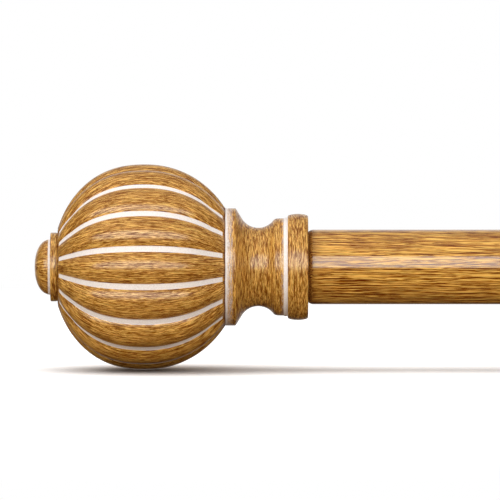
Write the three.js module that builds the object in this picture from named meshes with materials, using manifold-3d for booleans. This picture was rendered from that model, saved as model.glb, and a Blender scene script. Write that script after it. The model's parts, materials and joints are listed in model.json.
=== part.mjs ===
// An adjustable curtain rod with a fluted ball finial on each end and two wall brackets.
// Millimetres. +X runs along the rod, +Y points into the wall and +Z is up.
// The origin is the centre of the left bracket's wall plate, on the wall.
import * as THREE from "three";
import { mergeVertices } from "three/addons/utils/BufferGeometryUtils.js";
import Module from "manifold-3d";

const wasm = await Module();
wasm.setup();

// ---------------------------------------------------------------- driving dimensions

const INCH = 25.4;
const GAP = 0.3; // left between faces that touch on the real object

// Rod: a thin inner tube slides in the outer one.
const OUTER_RADIUS = INCH / 2;
const INNER_RADIUS = 0.4375 * INCH;
const TUBE_WALL = 0.8;
const GLIDE_BORE = 7.5;
const OUTER_LENGTH = 28 * INCH;
const INNER_LENGTH = 676;
const INNER_SHOWN = 3 * INCH;
const MOUTH_RADIUS = INNER_RADIUS + GAP; // the outer tube's mouth is rolled in to guide the inner tube
const END_ROUNDING = 1.8; // length of the rolled edge at a tube's end
const END_DROP = 0.7; // how far that edge drops

// Brackets: where they stand and how far they hold the rod from the wall.
const PROJECTION = 3.5 * INCH;
const END_TO_BRACKET = 120;

// Finial, measured along its axis from the end of the tube, and outwards.
const COLLAR_LENGTH = 7;
const COLLAR_RADIUS = 18.2;
const LAND_RADIUS = 16.6;
const COVE_ALONG = 17;
const COVE_SWEEP = 6.5;
const WAIST_RADIUS = 13.33;
const FLANGE_START = 24.8;
const FLANGE_END = 28.3;
const FLANGE_RADIUS = 19.95;
const BALL_ALONG = 55.4;
const BALL_RADIUS = 34.85;
const BALL_REACH_TO_NECK = 32.9; // half length of the superellipse on the neck's side
const BALL_REACH_TO_BUTTON = 31.75;
const BALL_POWER_TO_NECK = 2.08;
const BALL_POWER_TO_BUTTON = 2.33;
const BALL_END = 85.1;
const FLUTES = 16;
const FLUTE_DEPTH = 1.6;
const FLUTE_TURN = THREE.MathUtils.degToRad(-1.7); // the lobes stand a little off level
const BUTTON_START = BALL_END + GAP;
const BUTTON_FLANGE_END = 87.6;
const BUTTON_FLANGE_RADIUS = 11.75;
const BUTTON_RADIUS = 9.45;
const BUTTON_TIP = 92.97;
const BUTTON_POWER = 2.2;

// The threaded stud that ties a finial together and screws into the plug in the tube.
const STUD_RADIUS = 3;
const STUD_BORE = STUD_RADIUS + GAP;
const STUD_START = -26;
const STUD_END = 89.5;
const PLUG_LENGTH = 24;
const NUT_THICKNESS = 5;
const NUT_CORNER_RADIUS = 5.77;

// Bracket, measured along its arm from the wall.
const PLATE_RADIUS = 27;
const PLATE_THICKNESS = 3;
const WALL_SCREWS = 3;
const WALL_SCREW_CIRCLE = 19;
const WALL_SCREW_RADIUS = 2;
const WALL_SCREW_HEAD = 4;
const ANCHOR_RIM = 3.8;
const COVER_RADIUS = 34.5;
const COVER_DEPTH = 16;
const SOCKET_RADIUS = 8.5;
const SOCKET_END = 44;
const SOCKET_FLOOR = 7;
const ARM_RADIUS = 6;
const ARM_BEAD_START = 66;
const ARM_LOCK_ALONG = 38;
const ARM_LOCK_RADIUS = 2;
const ARM_LOCK_HEAD = 4.5;
const STRIP = 3; // thickness of the cradle's steel strip
const CRADLE_WIDTH = 18;
const CRADLE_INNER = OUTER_RADIUS + GAP;
const CRADLE_BACK_TOP = 12;
const CRADLE_LIP_TOP = 7;
const CRADLE_BOSS_RADIUS = 5.5;
const CRADLE_BOSS_DROP = 3;
const ROD_LOCK_RADIUS = 2.5;
const ROD_LOCK_HEAD = 6;

// ---------------------------------------------------------------- materials

function finish(color, roughness, metalness) {
  return new THREE.MeshStandardMaterial({ color, roughness, metalness });
}

const rodWood = finish(0xb27a38, 0.35, 0);
const finialWood = finish(0xb98040, 0.4, 0);
const bracketWood = finish(0xae7636, 0.4, 0);
const zinc = finish(0xb9bcc0, 0.35, 0.9);
const brass = finish(0xb58a45, 0.35, 0.9);
const nylon = finish(0xe6e2d8, 0.6, 0);

// ---------------------------------------------------------------- shape helpers

// A closed solid turned about +X, from [along, radius] pairs. Its outside runs towards +X.
function turned(profile, sides = 24) {
  const points = profile.map(([along, radius]) => new THREE.Vector2(radius, along));
  return new THREE.LatheGeometry(points, sides).rotateZ(-Math.PI / 2);
}

// A turned solid with no hole.
function turnedBar(outside, sides) {
  return turned([[outside[0][0], 0], ...outside, [outside.at(-1)[0], 0]], sides);
}

// A turned solid with a plain bore from end to end.
function turnedRing(outside, bore, sides) {
  const start = [outside[0][0], bore];
  return turned([start, ...outside, [outside.at(-1)[0], bore], start], sides);
}

// [along, radius] points on an arc about (along, radius). 0 degrees points along, 90 points outwards.
function arc(along, radius, sweep, fromDegrees, toDegrees, steps) {
  return Array.from({ length: steps + 1 }, (_, i) => {
    const angle = THREE.MathUtils.degToRad(THREE.MathUtils.lerp(fromDegrees, toDegrees, i / steps));
    return [along + sweep * Math.cos(angle), radius + sweep * Math.sin(angle)];
  });
}

// A turned solid that stands on -Z, with its +X end pointing down.
const pointingDown = (geometry) => geometry.rotateY(Math.PI / 2);

function toSolid(geometry) {
  const bare = geometry.clone();
  bare.deleteAttribute("normal");
  bare.deleteAttribute("uv");
  const merged = mergeVertices(bare, 1e-4);
  return new wasm.Manifold(
    new wasm.Mesh({
      numProp: 3,
      vertProperties: new Float32Array(merged.attributes.position.array),
      triVerts: new Uint32Array(merged.index.array),
    }),
  );
}

function toGeometry(solid) {
  const { numProp, vertProperties, triVerts } = solid.getMesh();
  const geometry = new THREE.BufferGeometry();
  geometry.setAttribute("position", new THREE.BufferAttribute(vertProperties, numProp));
  geometry.setIndex(new THREE.BufferAttribute(triVerts, 1));
  geometry.computeVertexNormals();
  return geometry;
}

function cut(geometry, ...tools) {
  return toGeometry(tools.reduce((solid, tool) => solid.subtract(toSolid(tool)), toSolid(geometry)));
}

function joined(geometry, ...others) {
  return toGeometry(others.reduce((solid, other) => solid.add(toSolid(other)), toSolid(geometry)));
}

// The cross that a screwdriver turns, sunk into a head whose top is at along.
function crossRecess(along, width, depth) {
  const slot = 1;
  const bars = [
    [width, slot],
    [slot, width],
  ];
  return bars.map(([y, z]) => new THREE.BoxGeometry(2 * depth, y, z).translate(along, 0, 0));
}

function node(name, geometry, material) {
  const mesh = new THREE.Mesh(geometry, material);
  mesh.name = name;
  return mesh;
}

function group(...children) {
  return new THREE.Group().add(...children);
}

// ---------------------------------------------------------------- rod

function outerTube() {
  const bore = OUTER_RADIUS - TUBE_WALL;
  const rolledLip = 1.5;
  const start = [0, bore];
  return turned(
    [
      start,
      [0, OUTER_RADIUS - END_DROP],
      [END_ROUNDING, OUTER_RADIUS],
      [OUTER_LENGTH - END_ROUNDING, OUTER_RADIUS],
      [OUTER_LENGTH, OUTER_RADIUS - END_DROP],
      [OUTER_LENGTH, MOUTH_RADIUS],
      [OUTER_LENGTH - rolledLip, MOUTH_RADIUS],
      [OUTER_LENGTH - 2 * rolledLip, bore],
      start,
    ],
    32,
  );
}

function innerTube() {
  const outside = [
    [0, INNER_RADIUS],
    [INNER_LENGTH - END_ROUNDING, INNER_RADIUS],
    [INNER_LENGTH, INNER_RADIUS - END_DROP],
  ];
  return turnedRing(outside, INNER_RADIUS - TUBE_WALL, 32);
}

// The nylon bush on the inner tube's hidden end. Its flange slides in the outer tube.
function glideBush() {
  const spigot = INNER_RADIUS - TUBE_WALL - GAP;
  const flange = OUTER_RADIUS - TUBE_WALL - GAP;
  const flangeLength = 3;
  const spigotLength = 12;
  const outside = [
    [-flangeLength - GAP, flange],
    [-GAP, flange],
    [-GAP, spigot],
    [spigotLength, spigot],
  ];
  return turnedRing(outside, GLIDE_BORE, 20);
}

// ---------------------------------------------------------------- finial

function finialNeck() {
  const coveRadius = WAIST_RADIUS + COVE_SWEEP;
  const outside = [
    [GAP, COLLAR_RADIUS - 0.6],
    [COLLAR_LENGTH / 2, COLLAR_RADIUS],
    [COLLAR_LENGTH, COLLAR_RADIUS - 0.9],
    [COLLAR_LENGTH + 0.1, LAND_RADIUS],
    [10.6, LAND_RADIUS - 0.05],
    ...arc(COVE_ALONG, coveRadius, COVE_SWEEP, 216, 333, 6),
    [FLANGE_START, FLANGE_RADIUS],
    [FLANGE_END, FLANGE_RADIUS - 0.1],
  ];
  return turnedRing(outside, STUD_BORE);
}

// The ball's crest radius at a place on its axis.
function crestRadius(along) {
  const towardsNeck = along < BALL_ALONG;
  const reach = towardsNeck ? BALL_REACH_TO_NECK : BALL_REACH_TO_BUTTON;
  const power = towardsNeck ? BALL_POWER_TO_NECK : BALL_POWER_TO_BUTTON;
  return BALL_RADIUS * Math.sqrt(1 - Math.abs((along - BALL_ALONG) / reach) ** power);
}

// A flute runs from the middle of one groove to the next, over a rounded lobe. Each place on it has its
// share of the pitch, and the height of the surface there as a share of the groove's depth.
const FLUTE_SECTION = [
  { share: 0, height: 0 },
  { share: 0.18, height: 0.75 },
  { share: 0.5, height: 1 },
  { share: 0.82, height: 0.75 },
];

function finialBall() {
  const rows = 9;
  const start = FLANGE_END + GAP;
  const startAngle = Math.asin((start - BALL_ALONG) / BALL_REACH_TO_NECK);
  const endAngle = Math.asin((BALL_END - BALL_ALONG) / BALL_REACH_TO_BUTTON);
  const outside = Array.from({ length: rows }, (_, i) => {
    const angle = THREE.MathUtils.lerp(startAngle, endAngle, i / (rows - 1));
    const reach = angle < 0 ? BALL_REACH_TO_NECK : BALL_REACH_TO_BUTTON;
    const along = BALL_ALONG + reach * Math.sin(angle);
    return [along, crestRadius(along)];
  });
  const columns = FLUTES * FLUTE_SECTION.length;
  const geometry = turnedRing(outside, STUD_BORE, columns);
  const position = geometry.attributes.position;
  const pitch = (2 * Math.PI) / FLUTES;
  for (let i = 0; i < position.count; i++) {
    const radius = Math.hypot(position.getY(i), position.getZ(i));
    const turn = Math.atan2(position.getY(i), position.getZ(i)) / (2 * Math.PI);
    const column = (Math.round(turn * columns) + columns) % columns;
    const { share, height } = FLUTE_SECTION[column % FLUTE_SECTION.length];
    const flute = Math.floor(column / FLUTE_SECTION.length);
    const angle = (flute + 0.5 + share) * pitch + FLUTE_TURN;
    const onBore = radius < STUD_BORE + GAP;
    const fluted = onBore ? radius : radius - FLUTE_DEPTH * (1 - height);
    position.setY(i, fluted * Math.sin(angle));
    position.setZ(i, fluted * Math.cos(angle));
  }
  return geometry;
}

function finialButton() {
  const domeSteps = 4;
  const holeEnd = STUD_END + GAP;
  const dome = Array.from({ length: domeSteps + 1 }, (_, i) => {
    const share = Math.sin((i / domeSteps) * (Math.PI / 2));
    const radius = BUTTON_RADIUS * (1 - share ** BUTTON_POWER) ** (1 / BUTTON_POWER);
    return [THREE.MathUtils.lerp(BUTTON_FLANGE_END, BUTTON_TIP, share), i === domeSteps ? 0 : radius];
  });
  const profile = [
    [holeEnd, 0],
    [holeEnd, STUD_BORE],
    [BUTTON_START, STUD_BORE],
    [BUTTON_START, BUTTON_FLANGE_RADIUS],
    [BUTTON_FLANGE_END - 0.1, BUTTON_FLANGE_RADIUS],
    ...dome,
  ];
  return turned(profile, 20);
}

function finialStud() {
  const bevel = 0.8;
  return turnedBar(
    [
      [STUD_START, STUD_RADIUS - bevel],
      [STUD_START + bevel, STUD_RADIUS],
      [STUD_END - bevel, STUD_RADIUS],
      [STUD_END, STUD_RADIUS - bevel],
    ],
    12,
  );
}

// A hexagonal bar along +X.
function hexBar(cornerRadius, length) {
  return new THREE.CylinderGeometry(cornerRadius, cornerRadius, length, 6).rotateZ(Math.PI / 2);
}

function tubePlug(tubeRadius) {
  const radius = tubeRadius - TUBE_WALL - GAP;
  const outside = [
    [-PLUG_LENGTH, radius - 0.8],
    [-PLUG_LENGTH + 2, radius],
    [-GAP, radius],
  ];
  const pocketDepth = NUT_THICKNESS + 2 * GAP;
  const pocket = hexBar(NUT_CORNER_RADIUS + 0.4, 2 * pocketDepth).translate(-PLUG_LENGTH, 0, 0);
  return cut(turnedRing(outside, STUD_BORE), pocket);
}

function plugNut() {
  const bore = turnedBar(
    [
      [-NUT_THICKNESS, STUD_BORE],
      [NUT_THICKNESS, STUD_BORE],
    ],
    16,
  );
  const middle = -PLUG_LENGTH + GAP + NUT_THICKNESS / 2;
  return cut(hexBar(NUT_CORNER_RADIUS, NUT_THICKNESS), bore).translate(middle, 0, 0);
}

// One finial with the plug that holds it, about an origin at the tube's end, pointing along +X.
function finial(side, tubeRadius) {
  return group(
    node(`${side}_finial_neck`, finialNeck(), finialWood),
    node(`${side}_finial_ball`, finialBall(), finialWood),
    node(`${side}_finial_button`, finialButton(), finialWood),
    node(`${side}_finial_stud`, finialStud(), zinc),
    node(`${side}_tube_plug`, tubePlug(tubeRadius), nylon),
    node(`${side}_plug_nut`, plugNut(), zinc),
  );
}

// ---------------------------------------------------------------- bracket

// Hole for a countersunk screw through the wall plate, with a relief behind it for the anchor's rim.
function wallScrewHole() {
  const clear = WALL_SCREW_RADIUS + GAP;
  const relief = ANCHOR_RIM + 0.4;
  return turnedBar(
    [
      [-1, relief],
      [0.6, relief],
      [0.6, clear],
      [1.1, clear],
      [PLATE_THICKNESS, WALL_SCREW_HEAD + GAP],
      [PLATE_THICKNESS + 1, WALL_SCREW_HEAD + GAP],
    ],
    12,
  );
}

// A place on the circle of wall screws, counted from the top.
function screwPlace(index) {
  const angle = (index / WALL_SCREWS) * 2 * Math.PI;
  return new THREE.Vector3(0, WALL_SCREW_CIRCLE * Math.sin(angle), WALL_SCREW_CIRCLE * Math.cos(angle));
}

function wallPlate() {
  const disc = turnedBar([
    [0, PLATE_RADIUS],
    [PLATE_THICKNESS - 0.6, PLATE_RADIUS],
    [PLATE_THICKNESS, PLATE_RADIUS - 0.6],
  ]);
  const holes = Array.from({ length: WALL_SCREWS }, (_, i) => {
    const { y, z } = screwPlace(i);
    return wallScrewHole().translate(0, y, z);
  });
  return cut(disc, ...holes);
}

function wallScrew() {
  const top = PLATE_THICKNESS - 0.1;
  const length = 32;
  const body = turnedBar(
    [
      [top - length, 0.4],
      [top - length + 5, WALL_SCREW_RADIUS],
      [1, WALL_SCREW_RADIUS],
      [top, WALL_SCREW_HEAD],
    ],
    12,
  );
  return cut(body, ...crossRecess(top, 4.4, 1.6));
}

function wallAnchor() {
  const rimStart = -0.4;
  const end = -27;
  return turnedRing(
    [
      [end, 2.7],
      [end + 5, 3.3],
      [rimStart, 3.3],
      [rimStart, ANCHOR_RIM],
      [GAP, ANCHOR_RIM],
    ],
    WALL_SCREW_RADIUS + GAP,
    12,
  );
}

// The blind tube on the wall plate that the arm slides in.
function armSocket() {
  const bore = ARM_RADIUS + GAP;
  const start = PLATE_THICKNESS + GAP;
  const body = turned([
    [start, 0],
    [start, SOCKET_RADIUS],
    [SOCKET_END - 0.8, SOCKET_RADIUS],
    [SOCKET_END, SOCKET_RADIUS - 0.8],
    [SOCKET_END, bore],
    [SOCKET_FLOOR, bore],
    [SOCKET_FLOOR, 0],
  ]);
  const screwHole = pointingDown(
    turnedBar(
      [
        [ARM_RADIUS - 1, ARM_LOCK_RADIUS + GAP],
        [SOCKET_RADIUS + 1, ARM_LOCK_RADIUS + GAP],
      ],
      16,
    ),
  ).translate(ARM_LOCK_ALONG, 0, 0);
  return cut(body, screwHole);
}

// The turned rosette that hides the wall plate. It is a shell and slides along the socket.
function cover() {
  const hole = SOCKET_RADIUS + GAP;
  const shoulder = 15.5;
  const start = [GAP, COVER_RADIUS - 4];
  return turned(
    [
      start,
      [GAP, COVER_RADIUS],
      [4.6, COVER_RADIUS],
      [5, COVER_RADIUS - 0.8],
      [5.1, COVER_RADIUS - 2],
      [6.2, COVER_RADIUS - 2],
      ...arc(17.2, 31.8, 11, 180, 250, 4),
      [15, 19.4],
      [COVER_DEPTH, shoulder],
      [COVER_DEPTH, hole],
      [12.5, hole],
      [12.5, 14],
      [8.4, 21.5],
      [3.8, 28.5],
      start,
    ],
    28,
  );
}

function arm() {
  const back = SOCKET_FLOOR + 0.4;
  const front = PROJECTION - CRADLE_INNER - STRIP - GAP;
  const screwBore = 2 + GAP;
  const boreStart = front - 14;
  const profile = [
    [back, 0],
    [back, ARM_RADIUS],
    [ARM_BEAD_START, ARM_RADIUS],
    [ARM_BEAD_START + 0.6, ARM_RADIUS + 1.6],
    [ARM_BEAD_START + 3.3, ARM_RADIUS + 2.3],
    [front - 0.6, ARM_RADIUS + 1.6],
    [front, ARM_RADIUS + 1],
    [front, screwBore],
    [boreStart, screwBore],
    [boreStart, 0],
  ];
  return turned(profile, 20);
}

// A U of flat strip that the rod drops into, with a boss under it for the screw that locks the rod.
function cradle() {
  const outer = CRADLE_INNER + STRIP;
  const outline = new THREE.Shape();
  outline.moveTo(-outer, CRADLE_BACK_TOP);
  outline.absarc(0, 0, outer, Math.PI, 2 * Math.PI, false);
  outline.lineTo(outer, CRADLE_LIP_TOP);
  outline.lineTo(CRADLE_INNER, CRADLE_LIP_TOP);
  outline.absarc(0, 0, CRADLE_INNER, 2 * Math.PI, Math.PI, true);
  outline.lineTo(-CRADLE_INNER, CRADLE_BACK_TOP);
  outline.closePath();
  const settings = { depth: CRADLE_WIDTH, bevelEnabled: false, curveSegments: 14 };
  const strip = new THREE.ExtrudeGeometry(outline, settings)
    .translate(0, 0, -CRADLE_WIDTH / 2)
    .rotateX(Math.PI / 2);
  const down = (radius, from, to) =>
    pointingDown(
      turnedBar(
        [
          [from, radius],
          [to, radius],
        ],
        16,
      ),
    );
  const boss = down(CRADLE_BOSS_RADIUS, outer - 1, outer + CRADLE_BOSS_DROP);
  const screwHole = down(ROD_LOCK_RADIUS + GAP, CRADLE_INNER - 1, outer + CRADLE_BOSS_DROP + 1);
  const armHole = turnedBar(
    [
      [-outer - 1, 2 + GAP],
      [-CRADLE_INNER - 1.9, 2 + GAP],
      [-CRADLE_INNER, 4.2],
      [-CRADLE_INNER + 1, 4.2],
    ],
    16,
  );
  return cut(joined(strip, boss), screwHole, armHole).translate(PROJECTION, 0, 0);
}

// The countersunk screw that fastens the cradle to the arm, from inside the cradle.
function cradleScrew() {
  const top = PROJECTION - CRADLE_INNER - GAP;
  const length = 14;
  const body = turnedBar(
    [
      [top - length, 1.6],
      [top - length + 1, 2],
      [top - 1.6, 2],
      [top, 3.6],
    ],
    12,
  );
  return cut(body, ...crossRecess(top, 4, 1.3));
}

// A knurled thumbscrew that points up, with its tip and its head this far below the axis.
function lockScrew(radius, tip, headTop, headRadius, headHeight) {
  const bevel = 0.6;
  return pointingDown(
    turnedBar(
      [
        [tip, radius - bevel],
        [tip + bevel, radius],
        [headTop, radius],
        [headTop, headRadius],
        [headTop + headHeight - bevel, headRadius],
        [headTop + headHeight, headRadius - bevel],
      ],
      16,
    ),
  );
}

function rodLockScrew() {
  const headTop = CRADLE_INNER + STRIP + CRADLE_BOSS_DROP + 1.5;
  const screw = lockScrew(ROD_LOCK_RADIUS, CRADLE_INNER, headTop, ROD_LOCK_HEAD, 7);
  return screw.translate(PROJECTION, 0, 0);
}

function armLockScrew() {
  const headTop = SOCKET_RADIUS + 2;
  const screw = lockScrew(ARM_LOCK_RADIUS, ARM_RADIUS + GAP, headTop, ARM_LOCK_HEAD, 5);
  return screw.translate(ARM_LOCK_ALONG, 0, 0);
}

// One wall screw with its anchor, at its place on the wall plate.
function wallFixing(side, index) {
  const fixing = group(
    node(`${side}_wall_screw_${index + 1}`, wallScrew(), zinc),
    node(`${side}_wall_anchor_${index + 1}`, wallAnchor(), nylon),
  );
  fixing.position.copy(screwPlace(index));
  return fixing;
}

// One bracket about an origin at its wall plate's centre, on the wall, reaching along +X.
function bracket(side) {
  return group(
    node(`${side}_wall_plate`, wallPlate(), zinc),
    ...Array.from({ length: WALL_SCREWS }, (_, i) => wallFixing(side, i)),
    node(`${side}_arm_socket`, armSocket(), bracketWood),
    node(`${side}_cover`, cover(), finialWood),
    node(`${side}_arm`, arm(), bracketWood),
    node(`${side}_cradle`, cradle(), bracketWood),
    node(`${side}_cradle_screw`, cradleScrew(), zinc),
    node(`${side}_rod_lock_screw`, rodLockScrew(), brass),
    node(`${side}_arm_lock_screw`, armLockScrew(), brass),
  );
}

// ---------------------------------------------------------------- assembly

const outerStart = -END_TO_BRACKET;
const outerEnd = outerStart + OUTER_LENGTH;
const innerEnd = outerEnd + INNER_SHOWN;

function onRodAxis(along, ...children) {
  const placed = group(...children);
  placed.position.set(along, -PROJECTION, 0);
  return placed;
}

const leftFinial = onRodAxis(outerStart, finial("left", OUTER_RADIUS));
leftFinial.rotation.z = Math.PI;

function onWall(along, side) {
  const placed = bracket(side);
  placed.position.x = along;
  placed.rotation.z = -Math.PI / 2;
  return placed;
}

const innerTubeNode = node("inner_tube", innerTube(), rodWood);
const glideBushNode = node("glide_bush", glideBush(), nylon);

const curtainRod = group(
  onRodAxis(outerStart, node("outer_tube", outerTube(), rodWood)),
  onRodAxis(innerEnd - INNER_LENGTH, innerTubeNode, glideBushNode),
  leftFinial,
  onRodAxis(innerEnd, finial("right", INNER_RADIUS)),
  onWall(0, "left"),
  onWall(innerEnd - END_TO_BRACKET, "right"),
);

export default curtainRod;
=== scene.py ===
"""Looks of an adjustable curtain rod with fluted ball finials and wall brackets, built round its frame.

Shapes are drawn in millimetres about a local +X axis, then placed in the frame, in metres, by a matrix.
"""

import json
import math

import bmesh
import bpy
import numpy as np
from mathutils import Matrix, Vector


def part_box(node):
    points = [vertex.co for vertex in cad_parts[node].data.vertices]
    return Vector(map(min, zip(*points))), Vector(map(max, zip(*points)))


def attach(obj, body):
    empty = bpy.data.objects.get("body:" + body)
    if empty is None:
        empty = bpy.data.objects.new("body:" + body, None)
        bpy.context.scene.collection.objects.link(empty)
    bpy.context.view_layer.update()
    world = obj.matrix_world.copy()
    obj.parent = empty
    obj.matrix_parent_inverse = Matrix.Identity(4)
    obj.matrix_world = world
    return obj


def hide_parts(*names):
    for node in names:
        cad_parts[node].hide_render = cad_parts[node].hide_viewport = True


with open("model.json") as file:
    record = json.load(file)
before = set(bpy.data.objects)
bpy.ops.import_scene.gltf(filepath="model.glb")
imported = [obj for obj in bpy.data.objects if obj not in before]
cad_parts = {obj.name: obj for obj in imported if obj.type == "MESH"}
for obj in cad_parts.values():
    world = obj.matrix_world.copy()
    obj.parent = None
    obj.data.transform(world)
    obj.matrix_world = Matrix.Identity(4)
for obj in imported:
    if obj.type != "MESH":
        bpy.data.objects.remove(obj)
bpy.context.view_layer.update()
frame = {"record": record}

# ---------------------------------------------------------------- sizes, in millimetres

MM = 0.001
GAP = 0.3  # left between faces that touch on the real object
SEAM = 0.03  # left instead where such a joint is in plain view
SUNK = 0.25  # how far a finial's pieces reach into each other, so that no light shows through

OUTER_RADIUS = 12.7
INNER_RADIUS = 11.1
TUBE_WALL = 0.8
MOUTH_RADIUS = INNER_RADIUS + GAP
MOUTH_LENGTH = 1.5  # rolled-in lip that guides the inner tube
GLIDE_BORE = 7.5
GLIDE_FLANGE = 3.0
GLIDE_SPIGOT = 12.0
EASED_LENGTH = 1.8  # rolled edge at a tube's end, and how far it drops
EASED_DROP = 0.7
PAINTED_SHADE_LENGTH = 3.2  # length at a tube's end where painted shade darkens its colour

COLLAR_RADIUS = 18.1
LAND_RADIUS = 16.6  # the step between collar and cove, with the painted bead on it
COVE_ALONG = 17.0
COVE_SWEEP = 6.5  # radius of the cove's arc
WAIST_RADIUS = 13.33
FLANGE_START = 24.7
FLANGE_END = 28.3
FLANGE_RADIUS = 19.95
BALL_ALONG = 55.4  # where the ball is widest
BALL_RADIUS = 34.87
BALL_REACH_TO_NECK = 32.9  # how far it would go on if its ends weren't cut off
BALL_REACH_TO_BUTTON = 31.75
BALL_POWER_TO_NECK = 2.08  # 2 would be an ellipse
BALL_POWER_TO_BUTTON = 2.33
BALL_END = 85.1
FLUTES = 16
FLUTE_DEPTH = 1.9
FLUTE_TURN = math.radians(2.0)  # the lobes stand a little off level
GROOVE_WIDTH = 2.0  # painted floor of a groove where the ball is widest
LOBE_EDGE = 0.1  # share of a flute's depth that is reached close to the groove
FLUTE_RUNOUT = 4.0  # length over which a flute gets shallow at the ball's ends
PAINT_CREEP = 0.03  # share of a lobe that paint climbs
SEAM_SHADE = 0.35  # length at the ball's ends where painted shade darkens its colour, in the gaps to the neck's flange and the button
BUTTON_START = BALL_END - SUNK
BUTTON_FLANGE_END = 87.6
BUTTON_FLANGE_RADIUS = 11.7
BUTTON_RING_END = 88.4  # the painted ring round the dome
BUTTON_RADIUS = 9.35
BUTTON_TIP = 92.97
BUTTON_POWER = 2.2

STUD_RADIUS = 3.0
STUD_PITCH = 1.0
STUD_BORE = STUD_RADIUS + GAP
STUD_START = -26.0
STUD_END = 89.5
PLUG_LENGTH = 24.0
NUT_THICKNESS = 5.0
NUT_ACROSS = 10.0

PLATE_RADIUS = 27.0
PLATE_THICKNESS = 3.0
WALL_SCREW_CIRCLE = 19.0
WALL_SCREW_RADIUS = 2.0
WALL_SCREW_HEAD = 4.0
WALL_SCREWS = 3
WALL_SCREW_LENGTH = 32.0
WALL_SCREW_PITCH = 1.6
WALL_SCREW_POINT = 5.0
ANCHOR_LENGTH = 27.0
ANCHOR_RIM = 3.8
COVER_RADIUS = 34.5
COVER_DEPTH = 16.0
COVER_RIM = 5.0  # a painted ring lies in front of the rim
SOCKET_RADIUS = 8.5
SOCKET_END = 44.0
SOCKET_FLOOR = 7.0
ARM_RADIUS = 6.0
ARM_BEAD_START = 66.0
ARM_BORE = 2.3  # for the cradle's screw
ARM_BORE_DEPTH = 14.0
ARM_LOCK_ALONG = 38.0
ARM_LOCK_HOLE = 2.25
STRIP = 3.0
CRADLE_WIDTH = 18.0
CRADLE_INNER = OUTER_RADIUS + GAP
CRADLE_BACK_TOP = 12.0
CRADLE_LIP_TOP = 7.0
CRADLE_BOSS_RADIUS = 5.5
CRADLE_BOSS_DROP = 3.0
CRADLE_LOCK_HOLE = 2.8
CRADLE_SCREW = {"length": 14.0, "shank": 2.0, "head": 3.6, "pitch": 0.8, "point": 1.0}
ROD_LOCK = {"radius": 2.5, "head_top": 20.5, "head_radius": 6.0, "head_height": 7.0}
ARM_LOCK = {"radius": 2.0, "head_top": 10.5, "head_radius": 4.5, "head_height": 5.0}
LOCK_PITCH = 0.8

ROUNDING_STEPS = 5  # edges that stand for a rounded corner

# Grain: typical length of a streak and its width.
ROD_STREAK = (12.0, 0.22)
FINIAL_STREAK = (3.2, 0.17)
BALL_STREAK = (4.4, 0.175)

# ---------------------------------------------------------------- places, from the frame

tube_low, tube_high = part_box("outer_tube")
rod_axis = (tube_low + tube_high) / 2
PROJECTION = -rod_axis.y / MM
inner_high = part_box("inner_tube")[1]
inner_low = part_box("inner_tube")[0]

behaviour = frame["record"]["behaviour"]
body_of = {node: body for body, nodes in behaviour["bodies"].items() for node in nodes}

DOWN = Matrix.Rotation(math.radians(90), 4, "Y")  # turns local +X to point down


def place(x, y, z, turn=0):
    """Matrix that puts a local shape at a point of the frame, turned about +Z by so many degrees."""
    return Matrix.Translation((x, y, z)) @ Matrix.Rotation(math.radians(turn), 4, "Z") @ Matrix.Scale(MM, 4)


# ---------------------------------------------------------------- shapes


def arc(along, radius, sweep, start, end, steps):
    """Points on an arc. 0 degrees points along the axis and 90 away from it."""
    angles = np.radians(np.linspace(start, end, steps + 1))
    return [(along + sweep * math.cos(a), radius + sweep * math.sin(a)) for a in angles]


def outline(*points):
    """Outline through (along, radius) points. A third number rounds that corner by as much."""
    path = []
    for i, point in enumerate(points):
        here = np.array(point[:2], float)
        if len(point) == 2:
            path.append(here)
            continue
        ends = [np.array(points[(i + k) % len(points)][:2], float) - here for k in (-1, 1)]
        start, end = [here + way * min(point[2] / np.linalg.norm(way), 0.5) for way in ends]
        for t in np.linspace(0, 1, ROUNDING_STEPS + 1):
            path.append((1 - t) ** 2 * start + 2 * t * (1 - t) * here + t**2 * end)
    return path


def circle(count):
    return np.linspace(0, 2 * np.pi, count, endpoint=False)


def ring(along, radius, angles):
    """Points round +X. along and radius may differ from angle to angle."""
    along = np.broadcast_to(along, angles.shape)
    return np.column_stack([along, -radius * np.sin(angles), radius * np.cos(angles)])


def turned(path, columns=64, reshape=None):
    """Rings of an outline turned about +X. reshape(along, radius, angles) gives a ring's radii."""
    angles = circle(columns)
    rings = []
    for along, radius in path:
        if radius < 1e-6:
            rings.append(np.array([[along, 0.0, 0.0]]))
        else:
            radii = reshape(along, radius, angles) if reshape else radius
            rings.append(ring(along, radii, angles))
    return rings


def loft(rings, closed=False):
    """A mesh through rings of points, a ring of one point being a pole.

    Its travel attribute is how far along the outline each vertex lies.
    """
    first = np.cumsum([0] + [len(r) for r in rings])
    faces = []
    last = len(rings) if closed else len(rings) - 1
    for a in range(last):
        b = (a + 1) % len(rings)
        count = max(len(rings[a]), len(rings[b]))
        for j in range(count):
            k = (j + 1) % count
            low = [first[a] + j, first[a] + k] if len(rings[a]) > 1 else [first[a]]
            high = [first[b] + k, first[b] + j] if len(rings[b]) > 1 else [first[b]]
            faces.append([int(v) for v in low + high])
    middles = np.array([np.column_stack([r[:, 0], np.hypot(r[:, 1], r[:, 2])]).mean(0) for r in rings])
    travel = np.cumsum(np.hypot(*np.diff(middles, axis=0, prepend=middles[:1]).T))
    mesh = bpy.data.meshes.new("shape")
    mesh.from_pydata(np.concatenate(rings).tolist(), [], faces)
    set_attribute(mesh, "travel", np.repeat(travel, [len(r) for r in rings]))
    return facing_out(mesh)


def facing_out(mesh):
    work = bmesh.new()
    work.from_mesh(mesh)
    bmesh.ops.recalc_face_normals(work, faces=work.faces)
    if work.calc_volume(signed=True) < 0:
        bmesh.ops.reverse_faces(work, faces=work.faces)
    work.to_mesh(mesh)
    work.free()
    return mesh


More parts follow.
